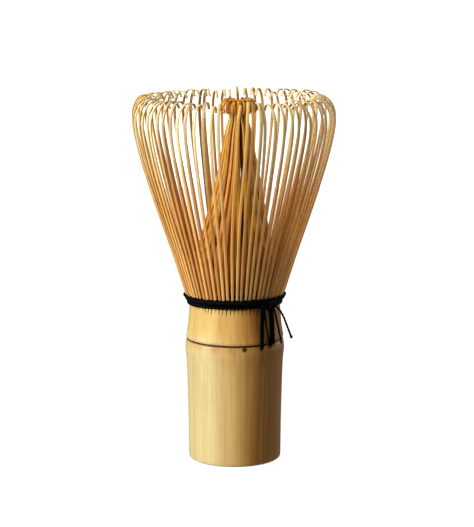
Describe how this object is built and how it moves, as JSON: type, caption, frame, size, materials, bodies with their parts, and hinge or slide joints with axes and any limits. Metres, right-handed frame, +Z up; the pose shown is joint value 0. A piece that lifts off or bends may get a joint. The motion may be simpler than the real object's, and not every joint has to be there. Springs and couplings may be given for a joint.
{
  "type": "bamboo tea whisk",
  "caption": "Bamboo tea whisk split from one culm: hollow handle with a node, flared outer tines with curled tips, a tight cone of inner tines and a black binding thread.",
  "frame": {"origin": "centre of the handle's cut base, on the surface the whisk stands on", "axes": "+Z up along the culm toward the tine tips; -Y is the side the picture looks at, with the knot toward +X"},
  "size_m": [0.061, 0.061, 0.1118],
  "materials": {
    "culm_bamboo": "natural waxy bamboo skin, straw gold with brown streaks",
    "outer_tine_bamboo": "split bamboo, pale straw tips and golden roots",
    "inner_tine_bamboo": "split bamboo, deeper golden",
    "black_thread": "twisted black cotton"
  },
  "bodies": {
    "handle_and_thread": {"handle_culm": "culm_bamboo", "thread_wrap_lower": "black_thread", "thread_wrap_middle": "black_thread", "thread_wrap_upper": "black_thread", "thread_inner_weave": "black_thread", "thread_knot": "black_thread", "thread_tail_1": "black_thread", "thread_tail_2": "black_thread", "thread_tail_3": "black_thread", "thread_tail_4": "black_thread", "thread_tail_5": "black_thread"},
    "outer_set_01": {"outer_tines_01": "outer_tine_bamboo"},
    "inner_set_01": {"inner_tines_01": "inner_tine_bamboo"},
    "outer_set_02": {"outer_tines_02": "outer_tine_bamboo"},
    "inner_set_02": {"inner_tines_02": "inner_tine_bamboo"},
    "outer_set_03": {"outer_tines_03": "outer_tine_bamboo"},
    "inner_set_03": {"inner_tines_03": "inner_tine_bamboo"},
    "outer_set_04": {"outer_tines_04": "outer_tine_bamboo"},
    "inner_set_04": {"inner_tines_04": "inner_tine_bamboo"},
    "outer_set_05": {"outer_tines_05": "outer_tine_bamboo"},
    "inner_set_05": {"inner_tines_05": "inner_tine_bamboo"},
    "outer_set_06": {"outer_tines_06": "outer_tine_bamboo"},
    "inner_set_06": {"inner_tines_06": "inner_tine_bamboo"},
    "outer_set_07": {"outer_tines_07": "outer_tine_bamboo"},
    "inner_set_07": {"inner_tines_07": "inner_tine_bamboo"},
    "outer_set_08": {"outer_tines_08": "outer_tine_bamboo"},
    "inner_set_08": {"inner_tines_08": "inner_tine_bamboo"},
    "outer_set_09": {"outer_tines_09": "outer_tine_bamboo"},
    "inner_set_09": {"inner_tines_09": "inner_tine_bamboo"},
    "outer_set_10": {"outer_tines_10": "outer_tine_bamboo"},
    "inner_set_10": {"inner_tines_10": "inner_tine_bamboo"},
    "outer_set_11": {"outer_tines_11": "outer_tine_bamboo"},
    "inner_set_11": {"inner_tines_11": "inner_tine_bamboo"},
    "outer_set_12": {"outer_tines_12": "outer_tine_bamboo"},
    "inner_set_12": {"inner_tines_12": "inner_tine_bamboo"},
    "outer_set_13": {"outer_tines_13": "outer_tine_bamboo"},
    "inner_set_13": {"inner_tines_13": "inner_tine_bamboo"},
    "outer_set_14": {"outer_tines_14": "outer_tine_bamboo"},
    "inner_set_14": {"inner_tines_14": "inner_tine_bamboo"},
    "outer_set_15": {"outer_tines_15": "outer_tine_bamboo"},
    "inner_set_15": {"inner_tines_15": "inner_tine_bamboo"},
    "outer_set_16": {"outer_tines_16": "outer_tine_bamboo"},
    "inner_set_16": {"inner_tines_16": "inner_tine_bamboo"},
    "outer_set_17": {"outer_tines_17": "outer_tine_bamboo"},
    "inner_set_17": {"inner_tines_17": "inner_tine_bamboo"},
    "outer_set_18": {"outer_tines_18": "outer_tine_bamboo"},
    "inner_set_18": {"inner_tines_18": "inner_tine_bamboo"}
  },
  "joints": [
    {"name": "outer_flex_01", "type": "hinge", "parent": "handle_and_thread", "child": "outer_set_01", "pos_m": [0, -0.0134, 0.0503], "axis": [1, 0, 0], "range_deg": [-2.5, 6], "stiffness_Nm_per_rad": 0.06},
    {"name": "outer_flex_02", "type": "hinge", "parent": "handle_and_thread", "child": "outer_set_02", "pos_m": [0.00458, -0.01259, 0.0503], "axis": [0.9397, 0.342, 0], "range_deg": [-2.5, 6], "stiffness_Nm_per_rad": 0.06},
    {"name": "outer_flex_03", "type": "hinge", "parent": "handle_and_thread", "child": "outer_set_03", "pos_m": [0.00861, -0.01026, 0.0503], "axis": [0.766, 0.6428, 0], "range_deg": [-2.5, 6], "stiffness_Nm_per_rad": 0.06},
    {"name": "outer_flex_04", "type": "hinge", "parent": "handle_and_thread", "child": "outer_set_04", "pos_m": [0.01161, -0.0067, 0.0503], "axis": [0.5, 0.866, 0], "range_deg": [-2.5, 6], "stiffness_Nm_per_rad": 0.06},
    {"name": "outer_flex_05", "type": "hinge", "parent": "handle_and_thread", "child": "outer_set_05", "pos_m": [0.0132, -0.00233, 0.0503], "axis": [0.1736, 0.9848, 0], "range_deg": [-2.5, 6], "stiffness_Nm_per_rad": 0.06},
    {"name": "outer_flex_06", "type": "hinge", "parent": "handle_and_thread", "child": "outer_set_06", "pos_m": [0.0132, 0.00233, 0.0503], "axis": [-0.1736, 0.9848, 0], "range_deg": [-2.5, 6], "stiffness_Nm_per_rad": 0.06},
    {"name": "outer_flex_07", "type": "hinge", "parent": "handle_and_thread", "child": "outer_set_07", "pos_m": [0.01161, 0.0067, 0.0503], "axis": [-0.5, 0.866, 0], "range_deg": [-2.5, 6], "stiffness_Nm_per_rad": 0.06},
    {"name": "outer_flex_08", "type": "hinge", "parent": "handle_and_thread", "child": "outer_set_08", "pos_m": [0.00861, 0.01026, 0.0503], "axis": [-0.766, 0.6428, 0], "range_deg": [-2.5, 6], "stiffness_Nm_per_rad": 0.06},
    {"name": "outer_flex_09", "type": "hinge", "parent": "handle_and_thread", "child": "outer_set_09", "pos_m": [0.00458, 0.01259, 0.0503], "axis": [-0.9397, 0.342, 0], "range_deg": [-2.5, 6], "stiffness_Nm_per_rad": 0.06},
    {"name": "outer_flex_10", "type": "hinge", "parent": "handle_and_thread", "child": "outer_set_10", "pos_m": [0, 0.0134, 0.0503], "axis": [-1, 0, 0], "range_deg": [-2.5, 6], "stiffness_Nm_per_rad": 0.06},
    {"name": "outer_flex_11", "type": "hinge", "parent": "handle_and_thread", "child": "outer_set_11", "pos_m": [-0.00458, 0.01259, 0.0503], "axis": [-0.9397, -0.342, 0], "range_deg": [-2.5, 6], "stiffness_Nm_per_rad": 0.06},
    {"name": "outer_flex_12", "type": "hinge", "parent": "handle_and_thread", "child": "outer_set_12", "pos_m": [-0.00861, 0.01026, 0.0503], "axis": [-0.766, -0.6428, 0], "range_deg": [-2.5, 6], "stiffness_Nm_per_rad": 0.06},
    {"name": "outer_flex_13", "type": "hinge", "parent": "handle_and_thread", "child": "outer_set_13", "pos_m": [-0.01161, 0.0067, 0.0503], "axis": [-0.5, -0.866, 0], "range_deg": [-2.5, 6], "stiffness_Nm_per_rad": 0.06},
    {"name": "outer_flex_14", "type": "hinge", "parent": "handle_and_thread", "child": "outer_set_14", "pos_m": [-0.0132, 0.00233, 0.0503], "axis": [-0.1736, -0.9848, 0], "range_deg": [-2.5, 6], "stiffness_Nm_per_rad": 0.06},
    {"name": "outer_flex_15", "type": "hinge", "parent": "handle_and_thread", "child": "outer_set_15", "pos_m": [-0.0132, -0.00233, 0.0503], "axis": [0.1736, -0.9848, 0], "range_deg": [-2.5, 6], "stiffness_Nm_per_rad": 0.06},
    {"name": "outer_flex_16", "type": "hinge", "parent": "handle_and_thread", "child": "outer_set_16", "pos_m": [-0.01161, -0.0067, 0.0503], "axis": [0.5, -0.866, 0], "range_deg": [-2.5, 6], "stiffness_Nm_per_rad": 0.06},
    {"name": "outer_flex_17", "type": "hinge", "parent": "handle_and_thread", "child": "outer_set_17", "pos_m": [-0.00861, -0.01026, 0.0503], "axis": [0.766, -0.6428, 0], "range_deg": [-2.5, 6], "stiffness_Nm_per_rad": 0.06},
    {"name": "outer_flex_18", "type": "hinge", "parent": "handle_and_thread", "child": "outer_set_18", "pos_m": [-0.00458, -0.01259, 0.0503], "axis": [0.9397, -0.342, 0], "range_deg": [-2.5, 6], "stiffness_Nm_per_rad": 0.06},
    {"name": "inner_flex_01", "type": "hinge", "parent": "handle_and_thread", "child": "inner_set_01", "pos_m": [0.00053, -0.01206, 0.0503], "axis": [0.999, 0.0436, 0], "range_deg": [0, 5], "stiffness_Nm_per_rad": 0.04},
    {"name": "inner_flex_02", "type": "hinge", "parent": "handle_and_thread", "child": "inner_set_02", "pos_m": [0.00462, -0.01115, 0.0503], "axis": [0.9239, 0.3827, 0], "range_deg": [0, 5], "stiffness_Nm_per_rad": 0.04},
    {"name": "inner_flex_03", "type": "hinge", "parent": "handle_and_thread", "child": "inner_set_03", "pos_m": [0.00815, -0.0089, 0.0503], "axis": [0.7373, 0.6756, 0], "range_deg": [0, 5], "stiffness_Nm_per_rad": 0.04},
    {"name": "inner_flex_04", "type": "hinge", "parent": "handle_and_thread", "child": "inner_set_04", "pos_m": [0.01071, -0.00557, 0.0503], "axis": [0.4617, 0.887, 0], "range_deg": [0, 5], "stiffness_Nm_per_rad": 0.04},
    {"name": "inner_flex_05", "type": "hinge", "parent": "handle_and_thread", "child": "inner_set_05", "pos_m": [0.01197, -0.00158, 0.0503], "axis": [0.1305, 0.9914, 0], "range_deg": [0, 5], "stiffness_Nm_per_rad": 0.04},
    {"name": "inner_flex_06", "type": "hinge", "parent": "handle_and_thread", "child": "inner_set_06", "pos_m": [0.01178, 0.00261, 0.0503], "axis": [-0.2164, 0.9763, 0], "range_deg": [0, 5], "stiffness_Nm_per_rad": 0.04},
    {"name": "inner_flex_07", "type": "hinge", "parent": "handle_and_thread", "child": "inner_set_07", "pos_m": [0.01018, 0.00649, 0.0503], "axis": [-0.5373, 0.8434, 0], "range_deg": [0, 5], "stiffness_Nm_per_rad": 0.04},
    {"name": "inner_flex_08", "type": "hinge", "parent": "handle_and_thread", "child": "inner_set_08", "pos_m": [0.00735, 0.00958, 0.0503], "axis": [-0.7934, 0.6088, 0], "range_deg": [0, 5], "stiffness_Nm_per_rad": 0.04},
    {"name": "inner_flex_09", "type": "hinge", "parent": "handle_and_thread", "child": "inner_set_09", "pos_m": [0.00363, 0.01151, 0.0503], "axis": [-0.9537, 0.3007, 0], "range_deg": [0, 5], "stiffness_Nm_per_rad": 0.04},
    {"name": "inner_flex_10", "type": "hinge", "parent": "handle_and_thread", "child": "inner_set_10", "pos_m": [-0.00053, 0.01206, 0.0503], "axis": [-0.999, -0.0436, 0], "range_deg": [0, 5], "stiffness_Nm_per_rad": 0.04},
    {"name": "inner_flex_11", "type": "hinge", "parent": "handle_and_thread", "child": "inner_set_11", "pos_m": [-0.00462, 0.01115, 0.0503], "axis": [-0.9239, -0.3827, 0], "range_deg": [0, 5], "stiffness_Nm_per_rad": 0.04},
    {"name": "inner_flex_12", "type": "hinge", "parent": "handle_and_thread", "child": "inner_set_12", "pos_m": [-0.00815, 0.0089, 0.0503], "axis": [-0.7373, -0.6756, 0], "range_deg": [0, 5], "stiffness_Nm_per_rad": 0.04},
    {"name": "inner_flex_13", "type": "hinge", "parent": "handle_and_thread", "child": "inner_set_13", "pos_m": [-0.01071, 0.00557, 0.0503], "axis": [-0.4617, -0.887, 0], "range_deg": [0, 5], "stiffness_Nm_per_rad": 0.04},
    {"name": "inner_flex_14", "type": "hinge", "parent": "handle_and_thread", "child": "inner_set_14", "pos_m": [-0.01197, 0.00158, 0.0503], "axis": [-0.1305, -0.9914, 0], "range_deg": [0, 5], "stiffness_Nm_per_rad": 0.04},
    {"name": "inner_flex_15", "type": "hinge", "parent": "handle_and_thread", "child": "inner_set_15", "pos_m": [-0.01178, -0.00261, 0.0503], "axis": [0.2164, -0.9763, 0], "range_deg": [0, 5], "stiffness_Nm_per_rad": 0.04},
    {"name": "inner_flex_16", "type": "hinge", "parent": "handle_and_thread", "child": "inner_set_16", "pos_m": [-0.01018, -0.00649, 0.0503], "axis": [0.5373, -0.8434, 0], "range_deg": [0, 5], "stiffness_Nm_per_rad": 0.04},
    {"name": "inner_flex_17", "type": "hinge", "parent": "handle_and_thread", "child": "inner_set_17", "pos_m": [-0.00735, -0.00958, 0.0503], "axis": [0.7934, -0.6088, 0], "range_deg": [0, 5], "stiffness_Nm_per_rad": 0.04},
    {"name": "inner_flex_18", "type": "hinge", "parent": "handle_and_thread", "child": "inner_set_18", "pos_m": [-0.00363, -0.01151, 0.0503], "axis": [0.9537, -0.3007, 0], "range_deg": [0, 5], "stiffness_Nm_per_rad": 0.04}
  ],
  "couplings": [
    {"joint": "inner_flex_02", "follows": "inner_flex_01", "ratio": 1},
    {"joint": "inner_flex_03", "follows": "inner_flex_01", "ratio": 1},
    {"joint": "inner_flex_04", "follows": "inner_flex_01", "ratio": 1},
    {"joint": "inner_flex_05", "follows": "inner_flex_01", "ratio": 1},
    {"joint": "inner_flex_06", "follows": "inner_flex_01", "ratio": 1},
    {"joint": "inner_flex_07", "follows": "inner_flex_01", "ratio": 1},
    {"joint": "inner_flex_08", "follows": "inner_flex_01", "ratio": 1},
    {"joint": "inner_flex_09", "follows": "inner_flex_01", "ratio": 1},
    {"joint": "inner_flex_10", "follows": "inner_flex_01", "ratio": 1},
    {"joint": "inner_flex_11", "follows": "inner_flex_01", "ratio": 1},
    {"joint": "inner_flex_12", "follows": "inner_flex_01", "ratio": 1},
    {"joint": "inner_flex_13", "follows": "inner_flex_01", "ratio": 1},
    {"joint": "inner_flex_14", "follows": "inner_flex_01", "ratio": 1},
    {"joint": "inner_flex_15", "follows": "inner_flex_01", "ratio": 1},
    {"joint": "inner_flex_16", "follows": "inner_flex_01", "ratio": 1},
    {"joint": "inner_flex_17", "follows": "inner_flex_01", "ratio": 1},
    {"joint": "inner_flex_18", "follows": "inner_flex_01", "ratio": 1}
  ]
}
